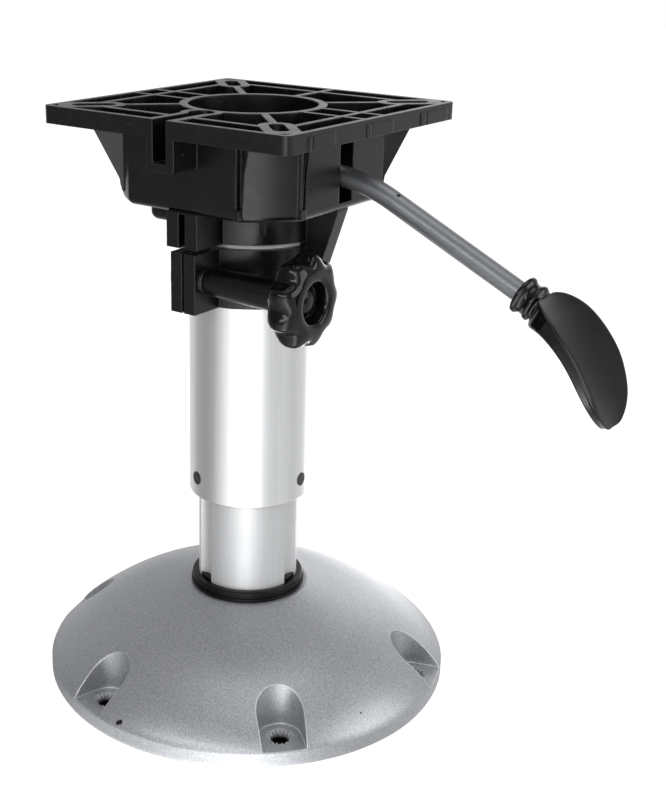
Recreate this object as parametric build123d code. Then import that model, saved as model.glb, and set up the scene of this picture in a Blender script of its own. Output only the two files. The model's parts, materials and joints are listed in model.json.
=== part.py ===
from build123d import *
import os
from math import cos, sin, tan, radians, sqrt

os.makedirs("parts", exist_ok=True)

# Frame: origin on the floor at the tube axis, +Z up, +X the side of the lever
# and the clamp knob, -Y the side of the ears and the open channel of the plate.

# shared fits
run = 0.05                  # radial clearance of sliding, turning and seated pieces

# heights that the rest follows
top_z = 433.0
plate_t = 12.0
plate_bot = top_z - plate_t
box_bot = top_z - 64.7
up_top = box_bot - 6.8

# base flange; its two curves are in parts of the width outside the hub and of the height
flange_top = [(0, 1), (0.1315, 0.941), (0.2723, 0.8791), (0.4131, 0.8058), (0.554, 0.7137),
              (0.6761, 0.6115), (0.7887, 0.4921), (0.8826, 0.3799), (0.9484, 0.282),
              (0.9859, 0.2101), (1, 0.1669)]
flange_under = [(0.1315, 0.8633), (0.2723, 0.7971), (0.4131, 0.7223), (0.554, 0.6273),
                (0.6761, 0.5209), (0.7887, 0.3971), (0.8826, 0.2763), (0.9343, 0.1871),
                (0.9484, 0.1151)]
flange_r = 152.5
foot_r = flange_r - 1.5
dome_z = 69.5
roof_t = 7.0
hub_r = 46.0
hub_floor = 3.0
ledge_r = 26.0
ledge_top = 10.0
bolt_ring = flange_r - 19.15
bolt_first = 17.0
bolt_n = 6
bolt_hole_r = 5.75
sink_r = 9.75
sink_depth = 4.0
pocket_z = 12.5
pocket_r = 15.7
pocket_draft = 3.5
boss_wall = 5.0
web_t = 5.0

# lower tube and its flutes
low_r = 37.5
low_in = 29.5
low_top = 0.7248 * up_top
flute_first = 7.0
flute_cut_r = 10.05
flute_depth = 5.0
set_r = 3.0
set_z = 40.0
low_screw_r = 2.5

# collar ring
collar_r = low_r + 5.8
collar_r2 = low_r + 5.0
collar_step = 3.0
collar_h = 8.0
collar_key = 2.4

# upper tube
up_r = 44.45
up_wall = 3.15
up_bot = 0.408 * up_top
up_in = up_r - up_wall
bush_r = up_in - run
low_bush = (up_bot + 1.5, up_bot + 32.5)
up_bush = (low_top - 30.0, low_top)
up_screw_z = up_bush[0] + 15.0
peg_r = 5.0
peg_z = up_bot + 14.5
plug_bot = up_top - 30.0
plug_screw_z = up_top - 11.5
plug_screw_r = 3.0

# gas spring
rod_r = 5.0
rod_top = low_top - 16.0
piston = (rod_top - 20.0, rod_top - 2.0)
cyl_r = 14.0
cyl_in = 12.5
cyl_bot = 0.304 * up_top
cyl_top = up_top - 11.5
gland_h = 15.0
neck_r = 9.0
nut_af = 27.0
nut_h = 6.5
button_r = 4.0
button_bot = cyl_top - 5.0

# swivel
sleeve_t = 1.95
sleeve_r = up_r + run + sleeve_t
cast_bore = sleeve_r + run
washer_t = 1.5
washer_in = 20.5

# seat mount
plate_half = 101.6
skin_t = 3.0
rim_t = 4.5
frame_c = plate_half - 21.6
frame_t = 4.5
well_r = 45.35
ring_r = 51.0
pair_y = 11.5
pair_t = 4.0
spoke_t = 5.0
slot_w = 10.5
slot_len = 30.0
slot_c = plate_half * 1.0728
slot_boss = 23.0
box_half = frame_c - 2.0
box_r = box_half + 12.8
box_wall = 4.0
box_edge = 6.0
floor_top = box_bot + 4.2
web_bot = up_top + washer_t + 0.1
web_hole = 20.0
chan_x = 1.3
chan_w = 11.2
chan_wall = 5.0
chan_right = 6.3
chan_bot = plate_bot - 21.5
chan_floor = 5.5
key_r = 9.0
key_y = -57.0
gusset_t = 4.0
gusset_y = 7.4
gusset_r = plate_half * 1.1
neck_out = 51.5
slit_hi = box_bot - 23.3
slit_lo = slit_hi - 3.5
band_bot = box_bot - 68.3
ear_x = 10.4
ear_y = -77.0
ear_slit = 1.8
ear2_x = 13.0
ear2_y = -78.0
ear2_slit = 5.6
spine_y = 6.0
spine_top = 76.4
spine_low = 53.3
win_y = 8.0
win_z = (box_bot + 6.3, plate_bot - 4.0)
pass_z = (box_bot + 9.7, plate_bot - 7.0)

# lever
lev_z = box_bot + 24.3
lev_r = 7.0
lev_end = 10.0
bend_x = 89.4
bend_r = 125.0
bend_a = 25.5
pin_x = 62.0
pin_r = 2.5
clip_t = 1.1
arm_t = 4.0
arm_r = 9.0
arm_top = lev_z - lev_r - 0.02
arm_bot = arm_top - arm_t
rivet_x = (17.0, 29.0)
rivet_r = 2.5
press_r = 3.0
press_head = 0.8
press_z = arm_bot - press_head - 0.03
button_top = press_z - 0.3
neck_top = button_top - 8.5
grip_x = 211.0

# clamp
clamp_y = -63.0
clamp_z = band_bot + 21.5
bolt_r = 4.0
barrel = (12.0, 77.0)
barrel_r = (9.5, 11.5)
knob_end = 100.0
knob_r = 32.0
knob_valley = 28.0
knob_scallop = 8.5
knob_recess = 14.7
knob_first = 27.0
knob_n = 9


def cyl(r, z0, z1, x=0, y=0):
    return Pos(x, y, (z0 + z1) / 2) * Cylinder(r, z1 - z0)


def ring(r1, r0, z0, z1):
    return cyl(r1, z0, z1) - cyl(r0, z0 - 1, z1 + 1)


def block(x0, x1, y0, y1, z0, z1):
    return Pos((x0 + x1) / 2, (y0 + y1) / 2, (z0 + z1) / 2) * Box(x1 - x0, y1 - y0, z1 - z0)


def around(shape, first, count):
    return [Rot(0, 0, first + 360 / count * k) * shape for k in range(count)]


def radial_pin(r, x0, x1, z):
    return Pos((x0 + x1) / 2, 0, z) * Rot(0, 90, 0) * Cylinder(r, x1 - x0)


def x_pin(r, x0, x1, y, z):
    return Pos((x0 + x1) / 2, y, z) * Rot(0, 90, 0) * Cylinder(r, x1 - x0)


def y_pin(r, y0, y1, x, z):
    return Pos(x, (y0 + y1) / 2, z) * Rot(90, 0, 0) * Cylinder(r, y1 - y0)


def turned(points):
    return revolve(Plane.XZ * make_face(Polyline(*points, close=True)), Axis.Z)


def hexagon(af, h):
    return extrude(RegularPolygon(af / 2, 6, major_radius=False), h)


def raise_up(sketch, z0, z1):
    return Pos(0, 0, z0) * extrude(sketch, z1 - z0)


# base flange

def flange_points(shares):
    return [(hub_r + (flange_r - hub_r) * a, dome_z * b) for a, b in shares]


def flange_body():
    points = flange_points(flange_top)
    crown = Spline(*points)
    rest = Polyline(points[-1], (flange_r, 3), (foot_r, 0), (0, 0), (0, dome_z), points[0])
    return revolve(Plane.XZ * make_face(Curve() + [crown, rest]), Axis.Z)


def pocket_cut():
    plan = Circle(pocket_r) + Pos(pocket_r, 0) * Rectangle(2 * pocket_r, 2 * pocket_r)
    return Pos(bolt_ring, 0, pocket_z) * extrude(plan, 40, taper=-pocket_draft)


def bolt_cut():
    sink = Pos(0, 0, -sink_depth / 2) * Cone(bolt_hole_r, sink_r, sink_depth)
    hole = Pos(0, 0, -10) * Cylinder(bolt_hole_r, 30)
    return Pos(bolt_ring, 0, pocket_z) * (sink + hole)


def make_flange():
    solid = flange_body()
    under = flange_points(flange_under)
    hollow = turned([(hub_r, -1), (hub_r, dome_z - roof_t)] + under + [(under[-1][0], -1)])
    shell = solid - hollow
    boss_r = pocket_r + boss_wall
    inner = block(hub_r - 1, bolt_ring - boss_r + 2, -web_t / 2, web_t / 2, 8, 80)
    inner += cyl(boss_r, 0, dome_z - 10, bolt_ring)
    inner += block(bolt_ring, flange_r - 2, -boss_r, boss_r, 0, 30)
    body = shell
    for piece in around(inner, bolt_first, bolt_n):
        body += piece & solid
    for piece in around(pocket_cut() + bolt_cut(), bolt_first, bolt_n):
        body -= piece
    body -= cyl(low_r + run, ledge_top, dome_z + 5)
    body -= cyl(ledge_r, -1, ledge_top + 1)
    body -= cyl(hub_r + 0.2, -1, hub_floor)
    for piece in around(radial_pin(set_r + run, low_r - 1, hub_r + 2, set_z), 67, 3):
        body -= piece
    return body


# lower tube and the pieces keyed to it

def flute_plan(extra=0.0):
    plan = Circle(low_r + extra)
    cutter = Pos(low_r - flute_depth + flute_cut_r, 0) * Circle(flute_cut_r - extra)
    for piece in around(cutter, flute_first, 3):
        plan -= piece
    return plan


def make_lower_tube():
    tube = raise_up(flute_plan() - Circle(low_in), ledge_top, low_top)
    for piece in around(radial_pin(set_r + run, low_r - 1.1, low_r + 2, set_z), 67, 3):
        tube -= piece
    for piece in around(radial_pin(low_screw_r + run, low_r - 4, low_r + 2, up_screw_z), 67, 3):
        tube -= piece
    return tube


def make_collar():
    plan = flute_plan(run)
    body = raise_up(Circle(collar_r) - plan, dome_z + 0.02, dome_z + collar_step)
    body += raise_up(Circle(collar_r2) - plan, dome_z + collar_step, dome_z + collar_h)
    edges = body.edges().filter_by(GeomType.CIRCLE).filter_by(lambda e: e.radius > low_r + 3)
    body = fillet(edges.group_by(Axis.Z)[-1], 1.4)
    keys = Circle(low_r - 0.5) - plan
    return body + raise_up(keys, dome_z + collar_h - 1, dome_z + collar_h + collar_key)


def make_set_screws():
    one = radial_pin(set_r, low_r - 1, hub_r + 1.5, set_z)
    socket = Pos(hub_r - 2, 0, set_z) * Rot(0, 90, 0) * hexagon(3, 5)
    return Compound(children=around(one - socket, 67, 3))


def make_bush(z0, z1, gap):
    plan = Circle(bush_r) - flute_plan(gap)
    return raise_up(plan, z0, z1)


def make_upper_bush():
    body = make_bush(*up_bush, run)
    for piece in around(radial_pin(low_screw_r + run, low_r - 2, bush_r + 2, up_screw_z), 67, 3):
        body -= piece
    return body


def make_bush_screws():
    one = radial_pin(low_screw_r, low_r - 3.5, bush_r - 0.4, up_screw_z)
    slot = block(bush_r - 1.4, bush_r, -0.4, 0.4, up_screw_z - 3, up_screw_z + 3)
    return Compound(children=around(one - slot, 67, 3))


def make_lower_bush():
    body = make_bush(*low_bush, run)
    for piece in around(radial_pin(peg_r - run, bush_r - 2, up_r + 0.4, peg_z), flute_first, 3):
        body += piece - cyl(low_r + 1.5, peg_z - 10, peg_z + 10)
    return body


# gas spring

def make_anchor_plate():
    return ring(low_in - run, rod_r + run, ledge_top + 0.02, ledge_top + 5)


def make_rod():
    seat = ledge_top + 5
    rod = cyl(rod_r, 1.5, rod_top)
    rod += cyl(8, seat + 0.02, seat + 3)
    return chamfer(rod.edges().group_by(Axis.Z)[0], 0.8)


def make_foot_washer():
    return ring(ledge_r - 6, rod_r + run, ledge_top - 2.0, ledge_top - 0.02)


def make_foot_nut():
    nut = Pos(0, 0, 3) * hexagon(16, 4.9)
    return nut - cyl(rod_r + run, 0, 12)


def make_piston():
    body = ring(cyl_in - run, rod_r + run, *piston)
    return body - ring(cyl_in + 2, cyl_in - 1.2, piston[0] + 7, piston[1] - 7)


def make_cylinder():
    body = cyl(cyl_r, cyl_bot, cyl_top) + cyl(neck_r, cyl_top, neck_top)
    body -= cyl(cyl_in, cyl_bot - 1, cyl_top - 14)
    body -= cyl(button_r + run, cyl_top - 11, neck_top + 1)
    body -= cyl(1.5, cyl_top - 15, cyl_top)
    return chamfer(body.edges().group_by(Axis.Z)[-1].sort_by(SortBy.RADIUS)[-1], 0.8)


def make_gland():
    body = ring(cyl_in - run, rod_r + run, cyl_bot + 0.5, cyl_bot + gland_h)
    return body


def make_top_plug():
    body = cyl(bush_r, plug_bot, up_top)
    body -= cyl(cyl_r + run, plug_bot - 1, cyl_top + run)
    body -= cyl(neck_r + run, cyl_top - 1, up_top + 1)
    body -= ring(bush_r - 6, cyl_r + 6, plug_bot - 1, up_top - 9)
    for piece in around(radial_pin(plug_screw_r + run, bush_r - 5, bush_r + 1, plug_screw_z), 37, 3):
        body -= piece
    return body


def make_plug_screws():
    one = radial_pin(plug_screw_r, bush_r - 4.8, up_r - 0.1, plug_screw_z)
    socket = Pos(up_r - 2.6, 0, plug_screw_z) * Rot(0, 90, 0) * hexagon(3, 5)
    return Compound(children=around(one - socket, 37, 3))


def make_neck_nut():
    nut = Pos(0, 0, up_top + 0.02) * hexagon(nut_af, nut_h)
    crown = Pos(0, 0, up_top) * Cone(nut_af * 0.7, nut_af * 0.5, nut_h + 0.4)
    nut = nut & (Pos(0, 0, nut_h / 2) * crown)
    return nut - cyl(neck_r + run, up_top - 1, neck_top)


def make_button():
    body = cyl(button_r, button_bot, button_top)
    return fillet(body.edges().group_by(Axis.Z)[-1], 2.5)


def make_upper_tube():
    body = ring(up_r, up_in, up_bot, up_top)
    for piece in around(radial_pin(peg_r, up_in - 1, up_r + 1, peg_z), flute_first, 3):
        body -= piece
    for piece in around(radial_pin(plug_screw_r + run, up_in - 1, up_r + 1, plug_screw_z), 37, 3):
        body -= piece
    return chamfer(body.edges().group_by(Axis.Z)[0], 0.6)


# seat mount

def spoke(angle, r0, r1, width):
    bar = Pos((r0 + r1) / 2, 0) * Rectangle(r1 - r0, width)
    return Rot(0, 0, angle) * bar


def plate_ribs():
    full = RectangleRounded(2 * plate_half, 2 * plate_half, 5)
    inner = RectangleRounded(2 * (plate_half - rim_t), 2 * (plate_half - rim_t), 2)
    ribs = full - inner
    a = 2 * frame_c + frame_t
    b = 2 * frame_c - frame_t
    ribs += Rectangle(a, a) - Rectangle(b, b)
    ribs += Circle(ring_r)
    for s in (-1, 1):
        ribs += Pos(0, s * pair_y) * Rectangle(2 * plate_half - 2, pair_t)
    ribs += spoke(90, ring_r - 2, plate_half - 1, spoke_t)
    ribs += channel_plan(ring_r - 2)
    ribs += Pos(0, key_y) * Circle(key_r + chan_wall)
    for k in range(4):
        ribs += spoke(45 + 90 * k, ring_r - 2, slot_c, spoke_t)
        boss = spoke(45 + 90 * k, slot_c - 10, slot_c + 24, slot_boss)
        boss += Rot(0, 0, 45 + 90 * k) * Pos(slot_c - 9.8, 0) * Circle(slot_boss / 2)
        ribs += boss & full
    return ribs


def channel_plan(inner):
    long = plate_half - 0.01 - inner
    wide = chan_w + chan_wall + chan_right
    mid = chan_x + (chan_right - chan_wall) / 2
    return Pos(mid, -inner - long / 2) * Rectangle(wide, long)


def slot_cuts():
    one = Rot(0, 0, 45) * Pos(slot_c, 0) * SlotOverall(slot_len, slot_w)
    return around(one, 0, 4)


def box_plan(inset=0.0):
    w = box_half - inset
    return Rectangle(2 * w, 2 * w) & Circle(box_r - inset)


def gussets():
    side = Polyline((well_r, plate_bot + 1), (gusset_r, plate_bot + 1), (gusset_r, plate_bot),
                    (box_r + 2, box_bot + 15), (box_r + 1, box_bot + 8), (box_r - 3, box_bot + 3),
                    (well_r, box_bot + 3), close=True)
    plate = Plane.XZ * make_face(side)
    out = []
    for k in range(3):
        for s in (-1, 1):
            flat = Pos(0, s * gusset_y + gusset_t / 2, 0) * extrude(plate, gusset_t, dir=(0, -1, 0))
            out.append(Rot(0, 0, 45 + 90 * k) * flat)
    return out


def make_seat_mount():
    ribs = plate_ribs()
    inside = box_plan(box_wall)
    full = RectangleRounded(2 * plate_half, 2 * plate_half, 5)
    body = raise_up(box_plan(), box_bot, plate_bot + 1)
    body = fillet(body.edges().group_by(Axis.Z)[0], box_edge)
    for part in gussets():
        body += part
    body -= raise_up(inside, floor_top, plate_bot + 2)
    body += raise_up(ribs & inside, floor_top - 1, top_z)
    body += raise_up(full - inside, plate_bot, plate_bot + skin_t)
    body += raise_up(ribs, plate_bot, top_z)
    body += channel()
    body += edge_pads()
    body += corner_ribs()
    body += neck_and_band()
    return seat_cuts(body)


def channel():
    body = raise_up(channel_plan(box_half - 1), chan_bot, plate_bot + 1)
    low = body.edges().group_by(Axis.Z)[0].filter_by(Axis.Y)
    return fillet(low, 3.0)


def edge_pads():
    pads = None
    spans = [(-80, -77), (-75, -51), (-14, -9), (-8, 17.5), (54, 60), (62, 89)]
    for y0, y1 in spans:
        y0 = max(y0, 2 - plate_half)
        y1 = min(y1, plate_half - 2)
        pad = block(plate_half - 3, plate_half + 0.7, y0, y1, plate_bot + 0.3, plate_bot + 9)
        pads = pad if pads is None else pads + pad
    return pads


def corner_ribs():
    flat = sqrt(box_r ** 2 - box_half ** 2)
    one = block(0, 1.2, -1, 1, box_bot + 7, plate_bot + 1)
    one += block(-6, 0, -1, 1, box_bot + 7, plate_bot + 1)
    one += block(-6, 2.4, -1.2, 4, box_bot + 2.5, box_bot + 9)
    left = Pos(flat - 1.3, -box_half, 0) * Rot(0, 0, -90) * one
    right = Pos(box_half - 1.8, -flat - 4, 0) * one
    return left + right


def corner_grooves():
    flat = sqrt(box_r ** 2 - box_half ** 2)
    wedge = Polyline((0, box_bot + 9), (2.6, box_bot + 9), (3.4, box_bot + 32), (6.4, plate_bot),
                     (0, plate_bot), close=True)
    one = extrude(Plane.XZ * make_face(wedge), 12, both=True)
    left = Pos(flat - 0.3, -box_half - 8.4, 0) * one
    right = Pos(box_half + 9.6, -flat - 3, 0) * Rot(0, 0, 90) * one
    return left + right


def neck_and_band():
    body = cyl(neck_out, band_bot, floor_top - 1)
    body += block(-ear2_x, ear2_x, ear2_y, -30, slit_hi, box_bot + 1)
    body += block(-ear_x, ear_x, ear_y, -30, band_bot, slit_lo)
    side = Polyline((40, box_bot + 3), (spine_top, box_bot + 3), (spine_top, box_bot),
                    (spine_low, band_bot), (40, band_bot), close=True)
    rib = extrude(Plane.XZ * make_face(side), spine_y, both=True)
    body += rib
    body += mirror(rib, Plane.YZ)
    boss = block(-45, -20, -60, -42, box_bot - 12.5, box_bot + 3)
    return body + fillet(boss.edges().group_by(Axis.Z)[0] + boss.edges().filter_by(Axis.Z), 6.0)


def seat_cuts(body):
    body -= cyl(cast_bore, band_bot - 1, web_bot)
    body -= cyl(web_hole, web_bot - 5, floor_top + 1)
    body -= cyl(well_r, box_bot, top_z + 1)
    for cut in slot_cuts():
        body -= raise_up(cut, plate_bot - 5, top_z + 1)
    body -= cyl(key_r, floor_top, top_z + 1, 0, key_y)
    left = chan_x - chan_w / 2
    right = chan_x + chan_w / 2
    body -= block(left, right, -plate_half - 1, key_y, chan_bot + chan_floor, top_z + 1)
    body -= x_pin(1.0, right + chan_right - 0.8, right + chan_right + 1, 8.2 - plate_half,
                  plate_bot - 10.3)
    body -= corner_grooves()
    body -= block(box_half - box_wall - 1, box_half + 4, -win_y, win_y, *win_z)
    body -= block(well_r - 5, ring_r + 2, pair_t / 2 - pair_y, pair_y - pair_t / 2, *pass_z)
    body -= block(-ear_slit / 2, ear_slit / 2, ear_y - 1, -44, band_bot - 1, slit_lo + 1)
    body -= block(-ear2_slit / 2, ear2_slit / 2, ear2_y - 1, -neck_out - 0.5, slit_hi - 1, box_bot)
    gap = ring(90, cast_bore - 1, slit_lo, slit_hi)
    half = block(-95, 95, -95, -spine_y, slit_lo - 1, slit_hi + 1)
    body -= gap & half
    body -= x_pin(bolt_r + run, -30, 30, clamp_y, clamp_z)
    body -= y_pin(pin_r + run, -pair_y - pair_t, pair_y + pair_t, pin_x, lev_z)
    body -= Rot(0, 0, -45) * Pos(neck_out, 0, box_bot - 9.3) * Box(3, 3.6, 14)
    return body


def make_pin():
    end = pair_y + pair_t / 2 + 2.2
    return y_pin(pin_r, -end, end, pin_x, lev_z)


def make_clips():
    out = []
    side = pair_y + pair_t / 2 + 0.2
    for y in (-side - clip_t, side):
        clip = y_pin(pin_r + 1.2, y, y + clip_t, pin_x, lev_z)
        clip -= y_pin(pin_r + 0.03, y - 1, y + 2, pin_x, lev_z)
        clip -= block(pin_x - 1.5, pin_x + 1.5, y - 1, y + 2, lev_z, lev_z + 9)
        out.append(clip)
    return Compound(children=out)


# lever

def make_lever_rod():
    t = bend_r * tan(radians(bend_a) / 2)
    ca = cos(radians(bend_a))
    sa = sin(radians(bend_a))
    start = (lev_end, lev_z)
    p1 = (bend_x - t, lev_z)
    p2 = (bend_x + t * ca, lev_z - t * sa)
    end_x = grip_x + 14
    end = (end_x, lev_z - (end_x - bend_x) * sa / ca)
    path = Line(start, p1) + JernArc(p1, (1, 0), bend_r, -bend_a) + Line(p2, end)
    sect = Plane(origin=(lev_end, 0, lev_z), z_dir=(1, 0, 0)) * Circle(lev_r)
    rod = sweep(sect, path=Plane.XZ * path)
    rod -= y_pin(pin_r + run, -lev_r - 1, lev_r + 1, pin_x, lev_z)
    for x in rivet_x:
        rod -= cyl(rivet_r + run, lev_z - 2 * lev_r, lev_z + 2 * lev_r, x)
    return rod


def make_arm():
    plan = make_hull(Circle(arm_r).edges() + (Pos(23, 0) * Rectangle(18, 2 * lev_r)).edges())
    body = raise_up(plan, arm_bot, arm_top)
    body -= cyl(press_r + run, arm_bot - 5, arm_top + 5)
    for x in rivet_x:
        body -= cyl(rivet_r + run, arm_bot - 5, arm_top + 5, x)
    return body


def make_rivets():
    top = lev_z + lev_r
    out = []
    for x in rivet_x:
        one = cyl(rivet_r, arm_bot - 1.2, top + 1.0, x)
        one += Pos(x, 0, arm_bot - 0.7) * Cone(3.4, 4.4, 1.3)
        one += Pos(x, 0, top + 0.6) * Cone(4.4, 3.4, 1.1)
        out.append(one)
    return Compound(children=out)


def make_press_screw():
    body = cyl(press_r, press_z, lev_z + 6)
    body += Pos(0, 0, press_z) * hexagon(9, press_head)
    return body


def make_press_nut():
    z = arm_top + 0.02
    return Pos(0, 0, z) * hexagon(10, 4.5) - cyl(press_r + run, z - 1, z + 9)


def grip_plane(x, z, angle):
    a = radians(angle)
    return Plane(origin=(x, 0, z), x_dir=(0, 1, 0), z_dir=(cos(a), 0, sin(a)))


def make_grip():
    axis_z = lev_z - (grip_x - bend_x) * tan(radians(bend_a))
    stations = [(15.9, -7.8, -24, 24, 20), (21.7, -8.5, -30.5, 37.6, 16), (30.5, -12.4, -39, 51.2, 12.5),
                (37.7, -17.8, -46, 57, 10.5), (44.7, -25.3, -50.6, 59.8, 9.8), (50.9, -33, -56.5, 60.2, 9.4),
                (55.7, -41.4, -62, 59.4, 9.2), (62.2, -54, -67.5, 50.2, 8.6),
                (65, -60.6, -75.5, 38.4, 7.6), (66.7, -66.3, -84, 24.6, 6.2), (67.6, -70.6, -90, 10.8, 4.4)]
    sections = []
    for x, z, angle, width, thick in stations:
        plane = grip_plane(grip_x + x, axis_z + z, angle)
        sections.append(plane * RectangleRounded(width, thick, 0.44 * thick))
    paddle = loft(sections)
    rings = [(0, 11.4), (0.8, 12.8), (3.6, 12.8), (4.6, 11.3), (9.2, 11.3), (10, 12.3), (12.6, 12.3),
             (13.4, 10.8), (15.8, 10.8), (16.6, 12), (18.8, 12), (19.6, 10.6), (22.2, 10.6), (23, 11.6),
             (24.8, 11.6), (25.6, 10.4), (27, 10.4), (27, 0), (0, 0)]
    neck = revolve(Plane.XY * make_face(Polyline(*rings, close=True)), Axis.X)
    tilt = radians(bend_a)
    place = Plane(origin=(grip_x, 0, axis_z), x_dir=(cos(tilt), 0, -sin(tilt)),
                  z_dir=(sin(tilt), 0, cos(tilt)))
    hole = Pos(7.2, 0, 0) * Rot(0, 90, 0) * Cylinder(lev_r + run, 16.7)
    return paddle + place * neck - place * hole


# clamp

def make_knob():
    a = barrel[1] + 0.02
    b = knob_end
    pts = [(a, 0), (a, 24), (a + 3, 28.5), (a + 6.5, 31.2), (a + 11, knob_r), (b - 8, 31.4),
           (b - 4, 29.6), (b - 1.2, 26), (b, 21.5), (b, 16.5), (b - 1.2, knob_recess),
           (b - 13, knob_recess - 0.6), (b - 13, 0)]
    body = revolve(Plane.XY * make_face(Polyline(*pts, close=True)), Axis.X)
    for k in range(knob_n):
        a0 = radians(knob_first + 360 / knob_n * k)
        r = knob_valley + knob_scallop
        body -= Pos((a + b) / 2, r * sin(a0), r * cos(a0)) * Rot(0, 90, 0) * Cylinder(knob_scallop, 40)
    body -= Pos(60, 0, 0) * Rot(0, 90, 0) * Cylinder(bolt_r + run, 100)
    return Pos(0, clamp_y, clamp_z) * body


def make_spacer():
    n = barrel[1] - barrel[0] - 0.05
    body = Pos(barrel[0] + 0.05 + n / 2, 0, 0) * Rot(0, 90, 0) * Cone(barrel_r[0], barrel_r[1], n)
    body -= Pos(45, 0, 0) * Rot(0, 90, 0) * Cylinder(bolt_r + run, 90)
    return Pos(0, clamp_y, clamp_z) * body


def make_clamp_bolt():
    seat = knob_end - 13
    body = x_pin(bolt_r, -19, seat + 3, clamp_y, clamp_z)
    head = Pos(seat + 0.02, clamp_y, clamp_z) * Rot(0, 90, 0) * hexagon(13, 5.3)
    socket = Pos(seat + 2.3, clamp_y, clamp_z) * Rot(0, 90, 0) * hexagon(6, 5)
    return body + head - socket


def make_clamp_washer():
    body = x_pin(9, ear_x + 0.1, barrel[0], clamp_y, clamp_z)
    return body - x_pin(bolt_r + run, 0, 20, clamp_y, clamp_z)


def make_clamp_nut():
    nut = Pos(-ear_x - 6.52, clamp_y, clamp_z) * Rot(0, 90, 0) * hexagon(13, 6.5)
    return nut - x_pin(bolt_r + run, -30, 0, clamp_y, clamp_z)


builders = {
    "base_flange": make_flange,
    "collar_ring": make_collar,
    "lower_tube": make_lower_tube,
    "tube_set_screws": make_set_screws,
    "rod_anchor_plate": make_anchor_plate,
    "rod_foot_washer": make_foot_washer,
    "rod_foot_nut": make_foot_nut,
    "gas_rod": make_rod,
    "gas_piston": make_piston,
    "upper_guide_bush": make_upper_bush,
    "bush_screws": make_bush_screws,
    "upper_tube": make_upper_tube,
    "lower_guide_bush": make_lower_bush,
    "gas_cylinder": make_cylinder,
    "gland_bush": make_gland,
    "top_plug": make_top_plug,
    "plug_screws": make_plug_screws,
    "neck_nut": make_neck_nut,
    "thrust_washer": lambda: ring(up_r - 0.2, washer_in, up_top + 0.02, up_top + washer_t),
    "swivel_sleeve": lambda: ring(sleeve_r, up_r + run, band_bot + 0.5, up_top),
    "valve_button": make_button,
    "seat_mount": make_seat_mount,
    "lever_pin": make_pin,
    "pin_clips": make_clips,
    "lever_rod": make_lever_rod,
    "actuator_arm": make_arm,
    "arm_rivets": make_rivets,
    "press_screw": make_press_screw,
    "press_nut": make_press_nut,
    "lever_handle": make_grip,
    "star_knob": make_knob,
    "knob_spacer": make_spacer,
    "clamp_bolt": make_clamp_bolt,
    "clamp_washer": make_clamp_washer,
    "clamp_nut": make_clamp_nut,
}

for name, make in builders.items():
    shape = make()
    export_step(shape, "parts/" + name + ".step")
    print(name, len(shape.solids()), round(shape.volume))
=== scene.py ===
import json
import math
import bpy
import bmesh
from mathutils import Matrix, Vector


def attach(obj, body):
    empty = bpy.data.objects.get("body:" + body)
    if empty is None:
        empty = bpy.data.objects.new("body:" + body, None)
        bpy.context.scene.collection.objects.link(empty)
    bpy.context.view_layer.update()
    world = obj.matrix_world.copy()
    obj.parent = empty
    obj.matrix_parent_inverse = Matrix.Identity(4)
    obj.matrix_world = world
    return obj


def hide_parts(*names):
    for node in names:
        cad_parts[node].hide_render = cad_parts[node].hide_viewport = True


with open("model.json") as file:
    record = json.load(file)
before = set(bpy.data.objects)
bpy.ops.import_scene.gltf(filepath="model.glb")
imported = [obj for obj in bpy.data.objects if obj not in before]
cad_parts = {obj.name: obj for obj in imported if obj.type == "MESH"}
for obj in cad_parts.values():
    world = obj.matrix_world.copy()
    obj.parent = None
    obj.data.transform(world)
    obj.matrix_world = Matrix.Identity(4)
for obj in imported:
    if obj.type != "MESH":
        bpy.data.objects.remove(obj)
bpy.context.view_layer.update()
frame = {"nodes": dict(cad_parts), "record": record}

nodes = frame["nodes"]
mm = 0.001
# six bolt holes: circle in mm, heading of the first in degrees
boltHoles = {"count": 6, "ring": 133.35, "first": 17.0}


def hexLinear(text, alpha=1.0):
    values = [int(text[i:i + 2], 16) / 255 for i in (1, 3, 5)]
    return [v / 12.92 if v <= 0.04045 else ((v + 0.055) / 1.055) ** 2.4 for v in values] + [alpha]


def addNode(tree, kind, settings=None, links=None):
    node = tree.nodes.new(kind)
    for key, value in (settings or {}).items():
        if isinstance(key, int) or key in node.inputs:
            node.inputs[key].default_value = value
        else:
            setattr(node, key, value)
    for key, (source, output) in (links or {}).items():
        tree.links.new(source.outputs[output], node.inputs[key])
    return node


def newMaterial(name):
    material = bpy.data.materials.new(name)
    material.use_nodes = True
    material.node_tree.nodes.clear()
    return material, material.node_tree


def twoTone(tree, source, output, low, high, darkHex, lightHex):
    ramp = addNode(tree, "ShaderNodeValToRGB", links={"Fac": (source, output)})
    ramp.color_ramp.elements[0].position = low
    ramp.color_ramp.elements[0].color = hexLinear(darkHex)
    ramp.color_ramp.elements[1].position = high
    ramp.color_ramp.elements[1].color = hexLinear(lightHex)
    return ramp


# painted shade in small pits and bores: a given dark colour inside a radius round each point, in mm
def paintPitShade(tree, place, pits, colour, output, pitShadeHex):
    spread = {"clear": 1.2, "full": 0.7}
    pitShaded = None
    for x, y, z, radius in pits:
        away = addNode(tree, "ShaderNodeVectorMath", {"operation": "DISTANCE", 1: (x * mm, y * mm, z * mm)},
                       {0: (place, "Object")})
        inside = addNode(tree, "ShaderNodeMapRange",
                         {"From Min": radius * mm * spread["clear"],
                          "From Max": radius * mm * spread["full"]},
                         {"Value": (away, "Value")})
        pitShaded = inside if pitShaded is None else addNode(tree, "ShaderNodeMath", {"operation": "MAXIMUM"},
                                                   {0: (pitShaded, 0), 1: (inside, "Result")})
    return addNode(tree, "ShaderNodeMix", {"data_type": "RGBA", 7: hexLinear(pitShadeHex)},
                   {0: (pitShaded, 0), 6: (colour, output)})


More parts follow.
